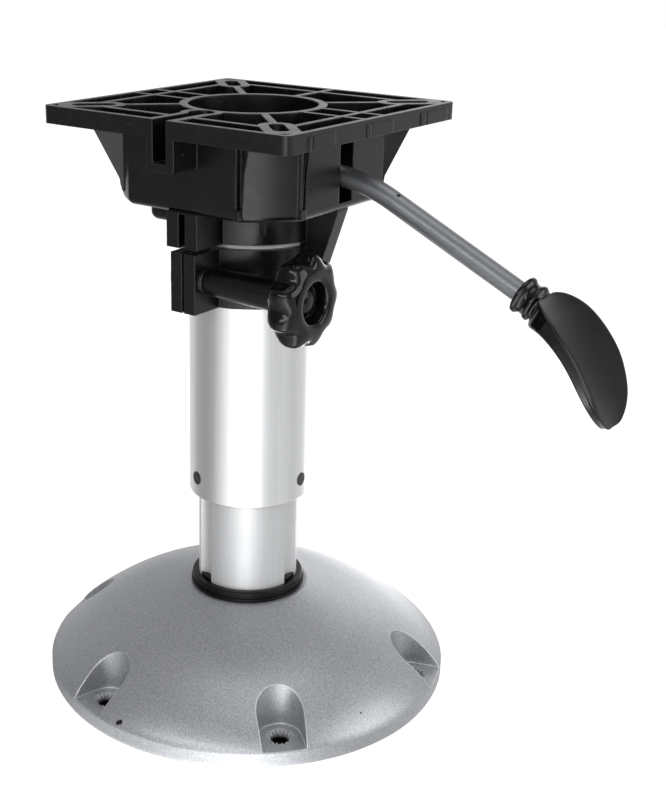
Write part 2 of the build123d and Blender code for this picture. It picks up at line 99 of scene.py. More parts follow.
# how far the surface is from flat within the bevel's reach: 0 on a face, 1 on a sharp edge
def edgeMask(tree, bevel):
    agreement = {"flat": 0.985, "edge": 0.8}
    geometry = addNode(tree, "ShaderNodeNewGeometry")
    facing = addNode(tree, "ShaderNodeVectorMath", {"operation": "DOT_PRODUCT"},
                     {0: (bevel, "Normal"), 1: (geometry, "Normal")})
    return addNode(tree, "ShaderNodeMapRange", {"From Min": agreement["flat"], "From Max": agreement["edge"]},
                   {"Value": (facing, "Value")})


# cast aluminium under a silver paint: soft sheen, metal flake, a little orange peel, and a painted highlight:
# edges painted near white
# (the flake is drawn coarser than the real one, which would shimmer at this size)
def silverPaintedCasting(name, bored):
    look = {"dark": "#9A9CA0", "light": "#BCBEC2", "paintedEdgeHighlight": "#F0F1F3", "pitShade": "#101011", "roughness": 0.4,
            "metallic": 0.6, "coat": 0.12, "coatRoughness": 0.3, "edgeMm": 1.7,
            "flakeMm": 1.0, "flakeStrength": 0.3, "flakeDepthMm": 0.08,
            "peelMm": 3.5, "peelStrength": 0.12, "peelDepthMm": 0.25}
    # painted shade at small pits: x, y, z, radius
    pits = [(-0.9, -150.4, 14.6, 1.7), (0.9, -150.2, 16.0, 1.9), (135.3, -45.8, 23.5, 0.8)]
    # the drilled bores are painted dark: painted shade deep in the holes
    boreShade = {"z": 6.2, "radius": 8.4}
    if bored:
        for i in range(boltHoles["count"]):
            t = math.radians(boltHoles["first"] + 360 * i / boltHoles["count"])
            x, y = boltHoles["ring"] * math.cos(t), boltHoles["ring"] * math.sin(t)
            pits.append((x, y, boreShade["z"], boreShade["radius"]))
    material, tree = newMaterial(name)
    place = addNode(tree, "ShaderNodeTexCoord")
    flake = addNode(tree, "ShaderNodeTexNoise", {"Scale": 1000 / look["flakeMm"], "Detail": 2.0},
                    {"Vector": (place, "Object")})
    peel = addNode(tree, "ShaderNodeTexNoise", {"Scale": 1000 / look["peelMm"], "Detail": 1.0},
                   {"Vector": (place, "Object")})
    colour = twoTone(tree, flake, "Fac", 0.36, 0.66, look["dark"], look["light"])
    edge = addNode(tree, "ShaderNodeBevel", {"samples": 6, "Radius": look["edgeMm"] * mm})
    # edges painted near white: a painted highlight along the rounded edges
    paintedEdgeHighlight = addNode(tree, "ShaderNodeMix", {"data_type": "RGBA", 7: hexLinear(look["paintedEdgeHighlight"])},
                     {0: (edgeMask(tree, edge), "Result"), 6: (colour, "Color")})
    pitShaded = paintPitShade(tree, place, pits, paintedEdgeHighlight, 2, look["pitShade"])
    rough = addNode(tree, "ShaderNodeMapRange",
                    {"To Min": look["roughness"] - 0.06, "To Max": look["roughness"] + 0.08},
                    {"Value": (flake, "Fac")})
    coarse = addNode(tree, "ShaderNodeBump", {"Strength": look["peelStrength"],
                                             "Distance": look["peelDepthMm"] * mm},
                     {"Height": (peel, "Fac"), "Normal": (edge, "Normal")})
    fine = addNode(tree, "ShaderNodeBump", {"Strength": look["flakeStrength"],
                                             "Distance": look["flakeDepthMm"] * mm},
                   {"Height": (flake, "Fac"), "Normal": (coarse, "Normal")})
    skin = addNode(tree, "ShaderNodeBsdfPrincipled",
                   {"Metallic": look["metallic"], "Coat Weight": look["coat"],
                    "Coat Roughness": look["coatRoughness"]},
                   {"Base Color": (pitShaded, 2), "Roughness": (rough, "Result"), "Normal": (fine, "Normal")})
    addNode(tree, "ShaderNodeOutputMaterial", links={"Surface": (skin, "BSDF")})
    return material


# extruded and anodised aluminium: near white satin with faint draw lines along the tube
def anodisedTube(name, darkHex, lightHex, roughness, metallic):
    look = {"lineMm": 0.7, "lineStretch": 0.012, "lineStrength": 0.03, "lineDepthMm": 0.03, "cloudMm": 35.714}
    material, tree = newMaterial(name)
    place = addNode(tree, "ShaderNodeTexCoord")
    stretch = addNode(tree, "ShaderNodeMapping", {"Scale": (1.0, 1.0, look["lineStretch"])},
                      {"Vector": (place, "Object")})
    lines = addNode(tree, "ShaderNodeTexNoise", {"Scale": 1000 / look["lineMm"], "Detail": 3.0},
                    {"Vector": (stretch, "Vector")})
    cloud = addNode(tree, "ShaderNodeTexNoise", {"Scale": 1000 / look["cloudMm"], "Detail": 2.0},
                    {"Vector": (place, "Object")})
    colour = twoTone(tree, lines, "Fac", 0.3, 0.7, darkHex, lightHex)
    rough = addNode(tree, "ShaderNodeMapRange", {"To Min": roughness - 0.04, "To Max": roughness + 0.05},
                    {"Value": (cloud, "Fac")})
    bump = addNode(tree, "ShaderNodeBump", {"Strength": look["lineStrength"],
                                             "Distance": look["lineDepthMm"] * mm},
                   {"Height": (lines, "Fac")})
    skin = addNode(tree, "ShaderNodeBsdfPrincipled", {"Metallic": metallic},
                   {"Base Color": (colour, "Color"), "Roughness": (rough, "Result"),
                    "Normal": (bump, "Normal")})
    addNode(tree, "ShaderNodeOutputMaterial", links={"Surface": (skin, "BSDF")})
    return material


# drawn tube with a grey satin finish, fine lines along the lever
def satinLever():
    look = {"dark": "#797B7E", "light": "#8A8C8F", "pitShade": "#2A2A2B", "roughness": 0.4, "metallic": 0.75,
            "lineMm": 0.6, "lineStretch": 0.03, "lineStrength": 0.1, "lineDepthMm": 0.03}
    # painted shade at a small pit on the lever: x, y, z, radius
    pits = [(120.5, -2.5, 384.9, 1.5)]
    material, tree = newMaterial("Satin drawn lever tube")
    place = addNode(tree, "ShaderNodeTexCoord")
    stretch = addNode(tree, "ShaderNodeMapping", {"Scale": (look["lineStretch"], 1.0, 1.0)},
                      {"Vector": (place, "Object")})
    lines = addNode(tree, "ShaderNodeTexNoise", {"Scale": 1000 / look["lineMm"], "Detail": 2.0},
                    {"Vector": (stretch, "Vector")})
    colour = twoTone(tree, lines, "Fac", 0.3, 0.7, look["dark"], look["light"])
    bump = addNode(tree, "ShaderNodeBump", {"Strength": look["lineStrength"],
                                             "Distance": look["lineDepthMm"] * mm},
                   {"Height": (lines, "Fac")})
    pitShaded = paintPitShade(tree, place, pits, colour, "Color", look["pitShade"])
    skin = addNode(tree, "ShaderNodeBsdfPrincipled",
                   {"Metallic": look["metallic"], "Roughness": look["roughness"]},
                   {"Base Color": (pitShaded, 2), "Normal": (bump, "Normal")})
    addNode(tree, "ShaderNodeOutputMaterial", links={"Surface": (skin, "BSDF")})
    return material


# glass filled nylon from a textured mould: black, paler fibres near the skin, edges rounded and painted
# lighter as a painted highlight
# (the grain is drawn coarser than the real one, which would shimmer at this size)
def filledNylon():
    look = {"dark": "#060607", "light": "#0F0F11", "speck": "#38383B", "edge": "#2C2C2F", "roughness": 0.28,
            "ior": 1.5, "specular": 0.34, "edgeMm": 1.3, "flowMm": 14.0, "flowShare": 0.35,
            "grainMm": 1.1, "grainStrength": 0.5, "grainDepthMm": 0.09}
    material, tree = newMaterial("Moulded black glass filled nylon")
    place = addNode(tree, "ShaderNodeTexCoord")
    grain = addNode(tree, "ShaderNodeTexNoise",
                    {"Scale": 1000 / look["grainMm"], "Detail": 3.0, "Roughness": 0.6},
                    {"Vector": (place, "Object")})
    flow = addNode(tree, "ShaderNodeTexNoise",
                   {"Scale": 1000 / look["flowMm"], "Detail": 3.0, "Distortion": 0.6},
                   {"Vector": (place, "Object")})
    mixed = addNode(tree, "ShaderNodeMath", {"operation": "MULTIPLY_ADD", 1: look["flowShare"]},
                    {0: (flow, "Fac"), 2: (grain, "Fac")})
    colour = twoTone(tree, mixed, "Value", 0.55, 0.82, look["dark"], look["light"])
    colour.color_ramp.elements.new(0.95).color = hexLinear(look["speck"])
    rough = addNode(tree, "ShaderNodeMapRange",
                    {"To Min": look["roughness"] - 0.1, "To Max": look["roughness"] + 0.12},
                    {"Value": (flow, "Fac")})
    edge = addNode(tree, "ShaderNodeBevel", {"samples": 4, "Radius": look["edgeMm"] * mm})
    # edges painted lighter grey: a painted highlight along the rounded edges
    paintedEdgeHighlight = addNode(tree, "ShaderNodeMix", {"data_type": "RGBA", 7: hexLinear(look["edge"])},
                     {0: (edgeMask(tree, edge), "Result"), 6: (colour, "Color")})
    bump = addNode(tree, "ShaderNodeBump", {"Strength": look["grainStrength"],
                                             "Distance": look["grainDepthMm"] * mm},
                   {"Height": (grain, "Fac"), "Normal": (edge, "Normal")})
    skin = addNode(tree, "ShaderNodeBsdfPrincipled",
                   {"IOR": look["ior"], "Specular IOR Level": look["specular"]},
                   {"Base Color": (paintedEdgeHighlight, 2), "Roughness": (rough, "Result"), "Normal": (bump, "Normal")})
    addNode(tree, "ShaderNodeOutputMaterial", links={"Surface": (skin, "BSDF")})
    return material


# phenolic knob, pressed in a polished mould: deep black with sharp reflections
def polishedPhenolic():
    look = {"dark": "#09090B", "light": "#111114", "roughness": 0.1, "ior": 1.55, "specular": 0.28,
            "waveMm": 9.0, "waveStrength": 0.1, "waveDepthMm": 0.2}
    material, tree = newMaterial("Polished black phenolic")
    place = addNode(tree, "ShaderNodeTexCoord")
    wave = addNode(tree, "ShaderNodeTexNoise", {"Scale": 1000 / look["waveMm"], "Detail": 2.0},
                   {"Vector": (place, "Object")})
    colour = twoTone(tree, wave, "Fac", 0.35, 0.65, look["dark"], look["light"])
    bump = addNode(tree, "ShaderNodeBump", {"Strength": look["waveStrength"],
                                             "Distance": look["waveDepthMm"] * mm},
                   {"Height": (wave, "Fac")})
    skin = addNode(tree, "ShaderNodeBsdfPrincipled",
                   {"IOR": look["ior"], "Roughness": look["roughness"],
                    "Specular IOR Level": look["specular"]},
                   {"Base Color": (colour, "Color"), "Normal": (bump, "Normal")})
    addNode(tree, "ShaderNodeOutputMaterial", links={"Surface": (skin, "BSDF")})
    return material


# injection moulded black plastic or enamel, plain apart from a faint grain
def mouldedHandle(name, darkHex, lightHex, roughness, shine=0.5):
    look = {"ior": 1.49, "grainMm": 1.1111, "grainStrength": 0.12, "grainDepthMm": 0.04, "cloudMm": 18.182}
    material, tree = newMaterial(name)
    place = addNode(tree, "ShaderNodeTexCoord")
    grain = addNode(tree, "ShaderNodeTexNoise", {"Scale": 1000 / look["grainMm"], "Detail": 2.0},
                    {"Vector": (place, "Object")})
    cloud = addNode(tree, "ShaderNodeTexNoise", {"Scale": 1000 / look["cloudMm"], "Detail": 2.0},
                    {"Vector": (place, "Object")})
    colour = twoTone(tree, cloud, "Fac", 0.3, 0.7, darkHex, lightHex)
    bump = addNode(tree, "ShaderNodeBump", {"Strength": look["grainStrength"],
                                             "Distance": look["grainDepthMm"] * mm},
                   {"Height": (grain, "Fac")})
    skin = addNode(tree, "ShaderNodeBsdfPrincipled",
                   {"IOR": look["ior"], "Roughness": roughness, "Specular IOR Level": shine},
                   {"Base Color": (colour, "Color"), "Normal": (bump, "Normal")})
    addNode(tree, "ShaderNodeOutputMaterial", links={"Surface": (skin, "BSDF")})
    return material


# turned white acetal, satin
def whiteAcetal():
    look = {"dark": "#F0F0EE", "light": "#FAFAF8", "roughness": 0.35, "ior": 1.48, "cloudMm": 4.5455}
    material, tree = newMaterial("Turned white acetal")
    place = addNode(tree, "ShaderNodeTexCoord")
    cloud = addNode(tree, "ShaderNodeTexNoise", {"Scale": 1000 / look["cloudMm"], "Detail": 2.0},
                    {"Vector": (place, "Object")})
    colour = twoTone(tree, cloud, "Fac", 0.3, 0.7, look["dark"], look["light"])
    skin = addNode(tree, "ShaderNodeBsdfPrincipled", {"IOR": look["ior"], "Roughness": look["roughness"]},
                   {"Base Color": (colour, "Color")})
    addNode(tree, "ShaderNodeOutputMaterial", links={"Surface": (skin, "BSDF")})
    return material


# zinc plated or ground steel, small crystals and a dull shine
def zincPlate(name, darkHex, lightHex, roughness):
    look = {"crystalMm": 1.4286}
    material, tree = newMaterial(name)
    place = addNode(tree, "ShaderNodeTexCoord")
    crystal = addNode(tree, "ShaderNodeTexNoise", {"Scale": 1000 / look["crystalMm"], "Detail": 4.0},
                      {"Vector": (place, "Object")})
    colour = twoTone(tree, crystal, "Fac", 0.3, 0.7, darkHex, lightHex)
    rough = addNode(tree, "ShaderNodeMapRange", {"To Min": roughness - 0.05, "To Max": roughness + 0.1},
                    {"Value": (crystal, "Fac")})
    skin = addNode(tree, "ShaderNodeBsdfPrincipled", {"Metallic": 1.0},
                   {"Base Color": (colour, "Color"), "Roughness": (rough, "Result")})
    addNode(tree, "ShaderNodeOutputMaterial", links={"Surface": (skin, "BSDF")})
    return material


finish = {
    "cast_base": silverPaintedCasting("Silver painted cast aluminium", True),
    "tube_metal": anodisedTube("Anodised extruded aluminium", "#DCDDDE", "#E4E5E6", 0.3, 0.9),
    "lever_metal": satinLever(),
    "black_nylon": filledNylon(),
    "gloss_black": polishedPhenolic(),
    "white_nylon": whiteAcetal(),
    "zinc_steel": zincPlate("Zinc plated steel", "#9C9C98", "#B6B6B2", 0.34),
    "spring_steel": zincPlate("Ground and polished rod steel", "#B4B4B6", "#C8C8CA", 0.16),
    "painted_cylinder": mouldedHandle("Black stove enamel", "#101012", "#18181A", 0.3),
}
# finishes of single pieces
# countersink teeth: the same silver paint without the bores' painted shade; on the small teeth the painted
# edge highlight lights most of the surface
toothPaint = silverPaintedCasting("Silver painted cast aluminium teeth", False)
fixedTube = anodisedTube("Anodised fluted aluminium", "#CECFD0", "#D8D9DA", 0.46, 0.55)
collarGloss = mouldedHandle("Glossy moulded collar", "#08080A", "#0E0E10", 0.3, 0.22)
handleFace = mouldedHandle("Dull moulded polypropylene", "#0A0A0C", "#101012", 0.34, 0.13)
handleGloss = mouldedHandle("Glossy moulded polypropylene", "#09090B", "#0F0F11", 0.12, 0.4)
own = {"collar_ring": collarGloss, "lower_tube": fixedTube}

for entry in frame["record"]["subparts"]:
    part = nodes.get(entry["node"])
    if part is not None:
        for socket in part.material_slots:
            socket.material = own.get(entry["node"], finish[entry["material_slot"]])
print("materials on the CAD pieces")


def meshObject(name, points, faces, material, smooth=True):
    mesh = bpy.data.meshes.new(name)
    mesh.from_pydata([tuple(c * mm for c in p) for p in points], [], faces)
    work = bmesh.new()
    work.from_mesh(mesh)
    bmesh.ops.remove_doubles(work, verts=work.verts, dist=1e-6)
    bmesh.ops.recalc_face_normals(work, faces=work.faces)
    work.to_mesh(mesh)
    work.free()
    for polygon in mesh.polygons:
        polygon.use_smooth = smooth
    mesh.materials.append(material)
    piece = bpy.data.objects.new(name, mesh)
    bpy.context.scene.collection.objects.link(piece)
    return piece


def ringStack(rings):
    points = [p for ring in rings for p in ring]
    n = len(rings[0])
    faces = []
    for i in range(len(rings) - 1):
        for j in range(n):
            k = (j + 1) % n
            faces.append((i * n + j, i * n + k, (i + 1) * n + k, (i + 1) * n + j))
    faces.append(tuple(range(n)))
    last = (len(rings) - 1) * n
    faces.append(tuple(last + j for j in reversed(range(n))))
    return points, faces


# lever handle: ribbed neck and a broad dished paddle, one moulding
paddle = {
    "y": 0.0, "columns": 8, "levels": 2,
    # hollow of the face, full from this half width on, and the bulge of the back
    "dish": 2.0, "dishFrom": 25.0, "bulge": 0.9, "faceSpan": 0.95, "backSpan": 0.84,
    # down the side: inset, share of the thickness, drop
    "side": [(0.0, 0.0, 0.8), (0.96, 0.3, 0.0), (1.56, 0.6, 0.0), (1.44, 0.9, 0.0)],
    # a point on the face's middle line, slope in degrees, half width, thickness
    "stations": [
        (227.4, 336.0, -22, 4.5, 9), (227.8, 336.4, -22, 9.5, 13), (229.0, 336.4, -23.5, 13.6, 16.5),
        (231.2, 335.8, -25.5, 17.4, 18), (234.2, 334.5, -28, 21.0, 17.5), (237.6, 332.6, -31.5, 24.0, 16),
        (241.4, 330.0, -35, 26.6, 14), (245.8, 326.8, -39, 28.6, 12.6), (252.6, 320.3, -45.5, 30.4, 10.8),
        (259.6, 312.3, -51, 31.0, 9.8), (265.8, 304.0, -57, 31.1, 9.4), (270.8, 295.2, -63, 30.5, 9.2),
        (276.4, 282.6, -68, 27.2, 8.6), (278.8, 275.2, -73, 23.4, 7.8), (280.0, 269.4, -79, 19.2, 7.2),
        (280.5, 265.4, -81, 14.8, 6.6), (280.6, 263.2, -79, 11.4, 6.0), (280.4, 262.0, -76, 8.2, 5.2),
        (280.0, 261.4, -72, 4.8, 4.2)],
}
neck = {
    "x": 211.0, "z": 334.6, "slope": 25.5, "segments": 48,
    # the paddle's root covers the last rings from above: from this far along, no higher than this
    "caps": [(14.0, 7.4), (18.9, 5.8)],
    # distance along, radius
    "rings": [
        (0.3, 7.4), (0, 9.8), (0.15, 11.9), (0.9, 12.8), (2.0, 12.9), (3.2, 12.6), (4.0, 11.9), (4.8, 11.3),
        (6.4, 10.9), (8.2, 11.1), (9.2, 11.6), (10.0, 12.3), (11.2, 12.6), (12.4, 12.2), (13.2, 11.3),
        (14.0, 10.7), (15.0, 10.7), (15.9, 11.3), (16.8, 12.1), (17.8, 12.3), (18.7, 11.8), (19.5, 10.9),
        (20.6, 10.4), (21.8, 10.6), (22.8, 11.4), (23.9, 11.7), (24.9, 11.3), (25.4, 10.5), (26.2, 9.9),
        (27.2, 9.7), (28.2, 10.4), (29.2, 10.3), (30.2, 9.2)],
}


def paddleSection(x, z, slope, half, thick):
    a = math.radians(slope)
    up = (-math.sin(a), math.cos(a))        # out of the face
    n = paddle["columns"]
    dish = paddle["dish"] * min(1.0, half / paddle["dishFrom"])
    outline = []
    for i in range(n + 1):
        s = (2 * i / n - 1) * paddle["faceSpan"]
        outline.append((s * half, -dish * (1 - s * s)))
    side = [(half - inset, -thick * share - drop) for inset, share, drop in paddle["side"]]
    outline += side
    for i in range(n - 1):
        s = (1 - 2 * i / (n - 2)) * paddle["backSpan"]
        outline.append((s * half, -thick - paddle["bulge"] * (1 - s * s)))
    outline += [(-u, v) for u, v in reversed(side)]
    return [(x + up[0] * v, paddle["y"] + u, z + up[1] * v) for u, v in outline]


def makePaddle():
    rings = [paddleSection(*station) for station in paddle["stations"]]
    points, faces = ringStack(rings)
    body = meshObject("paddle", points, faces, handleGloss)
    body.data.materials.append(handleFace)
    count = len(rings[0])
    for polygon in body.data.polygons:
        if len(polygon.vertices) == 4:
            places = [v % count for v in polygon.vertices]
            if max(places) <= paddle["columns"] and polygon.vertices[0] // count >= 1:
                polygon.material_index = 1
    finishing = body.modifiers.new("smooth", "SUBSURF")
    finishing.levels = finishing.render_levels = paddle["levels"]
    return body


def makeNeck():
    c, s = math.cos(math.radians(neck["slope"])), math.sin(math.radians(neck["slope"]))
    rings = []
    for along, radius in neck["rings"]:
        ring = []
        for j in range(neck["segments"]):
            t = 2 * math.pi * j / neck["segments"]
            side, lift = radius * math.cos(t), radius * math.sin(t)
            for start, cap in neck["caps"]:
                if along > start:
                    lift = min(lift, cap)
            x, z = neck["x"] + along * c + lift * s, neck["z"] - along * s + lift * c
            ring.append((x, paddle["y"] + side, z))
        rings.append(ring)
    points, faces = ringStack(rings)
    return meshObject("handle_neck", points, faces, handleGloss)


handle = makePaddle()
handleNeck = makeNeck()
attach(handle, "lever")
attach(handleNeck, "lever")
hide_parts("lever_handle")
print("handle")


# star knob: nine soft lobes round a turned body with a deep recess in its face
starKnob = {
    "y": -63.0, "z": 321.5, "lobes": 9, "firstValley": 29.0, "steps": 16, "sharpness": 1.1,
    # x, radius, depth of the valleys
    "profile": [
        (77.1, 5.0, 0), (77.1, 14.0, 0), (77.3, 22.0, 0.6), (78.4, 25.8, 1.6), (80.4, 28.6, 2.4),
        (83.2, 30.7, 4.2),
        (86.8, 31.8, 5.0), (90.4, 31.8, 5.0), (93.6, 31.2, 4.6), (96.0, 29.8, 3.6), (97.8, 27.0, 2.0),
        (98.9, 24.4, 1.2), (99.6, 21.6, 0.5), (99.9, 18.6, 0.1), (99.8, 16.2, 0), (99.2, 14.6, 0),
        (98.0, 13.7, 0), (96.0, 13.3, 0),
        (92.0, 13.1, 0), (89.4, 12.6, 0), (89.0, 11.8, 0), (90.4, 10.6, 0), (92.6, 8.8, 0), (94.0, 6.4, 0),
        (94.7, 3.6, 0), (94.9, 0.8, 0)],
}


def makeStarKnob():
    count = starKnob["lobes"] * starKnob["steps"]
    rings = []
    for x, radius, depth in starKnob["profile"]:
        ring = []
        for j in range(count):
            t = 2 * math.pi * j / count
            swing = math.cos(starKnob["lobes"] * (t - math.radians(starKnob["firstValley"])))
            r = radius - depth * ((1 + swing) / 2) ** starKnob["sharpness"]
            ring.append((x, starKnob["y"] + r * math.sin(t), starKnob["z"] + r * math.cos(t)))
        rings.append(ring)
    points, faces = ringStack(rings)
    return meshObject("star_knob_body", points, faces, finish["gloss_black"])


knob = makeStarKnob()
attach(knob, "knob")
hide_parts("star_knob")
print("star knob")


# serrations round the six countersinks, drawn by Geometry Nodes
serration = {"teeth": 16, "ringRadius": 8.1, "floor": 11.4, "ridgeTurn": 45.0, "ridgeFlat": 0.7,
             "length": 3.8, "width": 1.2, "height": 1.5, "tilt": 45.0}


def makeSerrations():
    tree = bpy.data.node_groups.new("Countersink serrations", "GeometryNodeTree")
    sizes = {"Teeth": serration["teeth"], "Holes": boltHoles["count"]}
    lengths = {"Bolt Ring": boltHoles["ring"] * mm, "Ring Radius": serration["ringRadius"] * mm,
               "Tooth Length": serration["length"] * mm, "Tooth Width": serration["width"] * mm,
               "Tooth Height": serration["height"] * mm, "Floor": serration["floor"] * mm,
               "First Angle": math.radians(boltHoles["first"]), "Tilt": math.radians(serration["tilt"])}
    tree.interface.new_socket("Geometry", in_out="INPUT", socket_type="NodeSocketGeometry")
    for key in sizes:
        tree.interface.new_socket(key, in_out="INPUT", socket_type="NodeSocketInt")
    for key in lengths:
        tree.interface.new_socket(key, in_out="INPUT", socket_type="NodeSocketFloat")
    tree.interface.new_socket("Geometry", in_out="OUTPUT", socket_type="NodeSocketGeometry")
    given = addNode(tree, "NodeGroupInput")
    size = addNode(tree, "ShaderNodeCombineXYZ",
                   links={"X": (given, "Tooth Length"), "Y": (given, "Tooth Width"),
                          "Z": (given, "Tooth Height")})
    block = addNode(tree, "GeometryNodeMeshCube", links={"Size": (size, "Vector")})
    lean = addNode(tree, "ShaderNodeCombineXYZ", {"X": math.radians(serration["ridgeTurn"])})
    ridge = addNode(tree, "GeometryNodeTransform",
                    {"Scale": (1.0, serration["ridgeFlat"], serration["ridgeFlat"])},
                    {"Geometry": (block, "Mesh"), "Rotation": (lean, "Vector")})
    back = addNode(tree, "ShaderNodeMath", {"operation": "MULTIPLY", 1: -1.0}, {0: (given, "Tilt")})
    slope = addNode(tree, "ShaderNodeCombineXYZ", links={"Y": (back, "Value")})
    sloped = addNode(tree, "GeometryNodeTransform",
                     links={"Geometry": (ridge, "Geometry"), "Rotation": (slope, "Vector")})
    circle = addNode(tree, "GeometryNodeMeshCircle",
                     links={"Vertices": (given, "Teeth"), "Radius": (given, "Ring Radius")})
    outward = addNode(tree, "GeometryNodeInputPosition")
    turn = addNode(tree, "FunctionNodeAlignRotationToVector", {"axis": "X", "pivot_axis": "Z"},
                   {"Vector": (outward, "Position")})
    teeth = addNode(tree, "GeometryNodeInstanceOnPoints",
                    links={"Points": (circle, "Mesh"), "Instance": (sloped, "Geometry"),
                           "Rotation": (turn, "Rotation")})
    lift = addNode(tree, "ShaderNodeCombineXYZ", links={"Z": (given, "Floor")})
    raised = addNode(tree, "GeometryNodeTransform",
                     links={"Geometry": (teeth, "Instances"), "Translation": (lift, "Vector")})
    bolts = addNode(tree, "GeometryNodeMeshCircle",
                    links={"Vertices": (given, "Holes"), "Radius": (given, "Bolt Ring")})
    first = addNode(tree, "ShaderNodeCombineXYZ", links={"Z": (given, "First Angle")})
    boltsTurned = addNode(tree, "GeometryNodeTransform",
                          links={"Geometry": (bolts, "Mesh"), "Rotation": (first, "Vector")})
    everyHole = addNode(tree, "GeometryNodeInstanceOnPoints",
                        links={"Points": (boltsTurned, "Geometry"), "Instance": (raised, "Geometry")})
    real = addNode(tree, "GeometryNodeRealizeInstances", links={"Geometry": (everyHole, "Instances")})
    painted = addNode(tree, "GeometryNodeSetMaterial", {"Material": toothPaint},
                      {"Geometry": (real, "Geometry")})
    addNode(tree, "NodeGroupOutput", links={"Geometry": (painted, "Geometry")})
    carrier = bpy.data.objects.new("serrations_source", bpy.data.meshes.new("serrations_source"))
    bpy.context.scene.collection.objects.link(carrier)
    modifier = carrier.modifiers.new("Serrations", "NODES")
    modifier.node_group = tree
    for item in tree.interface.items_tree:
        if item.in_out == "INPUT" and item.name in sizes:
            modifier[item.identifier] = sizes[item.name]
        elif item.in_out == "INPUT" and item.name in lengths:
            modifier[item.identifier] = lengths[item.name]
    bpy.context.view_layer.update()
    shown = carrier.evaluated_get(bpy.context.evaluated_depsgraph_get())
    mesh = bpy.data.meshes.new_from_object(shown)
    carrier.modifiers.remove(modifier)
    bpy.data.objects.remove(carrier)
    mesh.name = "countersink_serrations"
    piece = bpy.data.objects.new("countersink_serrations", mesh)
    bpy.context.scene.collection.objects.link(piece)
    return piece


serrations = makeSerrations()
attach(serrations, "base")
print("serrations", len(serrations.data.polygons))


# stage: white floor that keeps a soft shadow, soft lamps, the photograph's camera
stageLook = {
    "floorSize": 12.0, "floorGlow": 0.8, "floorColour": "#BCBCBC", "airLevel": 0.6, "ceiling": 0.26,
    # no glow on the floor inside the base, so that its holes stay dark
    "underBase": 0.148,
    # the sky's share of the room's level, and the heights between which it fades to the ceiling
    "skyShare": 0.56, "fadeFrom": 0.5, "fadeTo": 0.74,
    # what polished pieces mirror, by compass heading in degrees, where 1 is white: not a plain studio,
    # but light and dark sides that repeat the bands on the photograph's tubes
    "brightest": 4.6,
    "room": [
        (-180, 0.65), (-166, 0.45), (-138, 0.32), (-121, 0.44), (-104, 1.05), (-82, 1.55), (-65, 3.4),
        (-54, 4.6), (-43, 2.6), (-34, 1.2), (-18, 0.75), (4, 0.85), (20, 0.85), (40, 0.5), (52, 1.05),
        (62, 0.55), (86, 1.4), (104, 4.6), (122, 1.1), (142, 1.0), (160, 0.85)],
    # name, place, aim, width, height, power
    "lamps": [("front", (0.12, -1.4, 0.92), (0, 0, 0.1), 1.3, 0.25, 4.5),
              ("right", (1.45, 0.45, 0.8), (0, 0, 0.2), 1.2, 0.9, 9),
              ("overhead", (0.2, 0.0, 1.9), (0, 0, 0.2), 1.2, 1.2, 6)],
}


def roomLevel(tree, source, output):
    parts = addNode(tree, "ShaderNodeSeparateXYZ", links={"Vector": (source, output)})
    heading = addNode(tree, "ShaderNodeMath", {"operation": "ARCTAN2"}, {0: (parts, "Y"), 1: (parts, "X")})
    turn = addNode(tree, "ShaderNodeMath", {"operation": "MULTIPLY_ADD", 1: 0.5 / math.pi, 2: 0.5},
                   {0: (heading, "Value")})
    ramp = addNode(tree, "ShaderNodeValToRGB", links={"Fac": (turn, "Value")})
    ramp.color_ramp.interpolation = "B_SPLINE"
    stops = ramp.color_ramp.elements
    for i, (degrees, level) in enumerate(stageLook["room"]):
        stop = stops[i] if i < 2 else stops.new(degrees / 360 + 0.5)
        stop.position = degrees / 360 + 0.5
        grey = level / stageLook["brightest"]
        stop.color = (grey, grey, grey, 1.0)
    return addNode(tree, "ShaderNodeMath", {"operation": "MULTIPLY", 1: stageLook["brightest"]},
                   {0: (ramp, "Color")})


def whiteFloor():
    material, tree = newMaterial("Plain white floor")
    path = addNode(tree, "ShaderNodeLightPath")
    place = addNode(tree, "ShaderNodeTexCoord")
    room = roomLevel(tree, place, "Object")
    seen = addNode(tree, "ShaderNodeMath", {"operation": "MULTIPLY", 1: stageLook["floorGlow"]},
                   {0: (path, "Is Camera Ray")})
    mirrored = addNode(tree, "ShaderNodeMath", {"operation": "MULTIPLY"},
                       {0: (path, "Is Glossy Ray"), 1: (room, "Value")})
    level = addNode(tree, "ShaderNodeMath", {"operation": "ADD"},
                    {0: (seen, "Value"), 1: (mirrored, "Value")})
    away = addNode(tree, "ShaderNodeVectorMath", {"operation": "LENGTH"}, {0: (place, "Object")})
    clear = addNode(tree, "ShaderNodeMath", {"operation": "GREATER_THAN", 1: stageLook["underBase"]},
                    {0: (away, "Value")})
    shown = addNode(tree, "ShaderNodeMath", {"operation": "MULTIPLY"},
                    {0: (level, "Value"), 1: (clear, "Value")})
    glow = addNode(tree, "ShaderNodeEmission", {"Color": (1, 1, 1, 1)}, {"Strength": (shown, "Value")})
    dull = addNode(tree, "ShaderNodeBsdfDiffuse", {"Color": hexLinear(stageLook["floorColour"])})
    both = addNode(tree, "ShaderNodeAddShader", links={0: (glow, "Emission"), 1: (dull, "BSDF")})
    plain = addNode(tree, "ShaderNodeMixShader",
                    links={0: (path, "Is Glossy Ray"), 1: (both, "Shader"), 2: (glow, "Emission")})
    addNode(tree, "ShaderNodeOutputMaterial", links={"Surface": (plain, "Shader")})
    half = stageLook["floorSize"] / 2 / mm
    corners = [(-half, -half, 0), (half, -half, 0), (half, half, 0), (-half, half, 0)]
    floor = meshObject("floor", corners, [(0, 1, 2, 3)], material, smooth=False)
    if floor.data.polygons[0].normal.z < 0:
        floor.data.flip_normals()


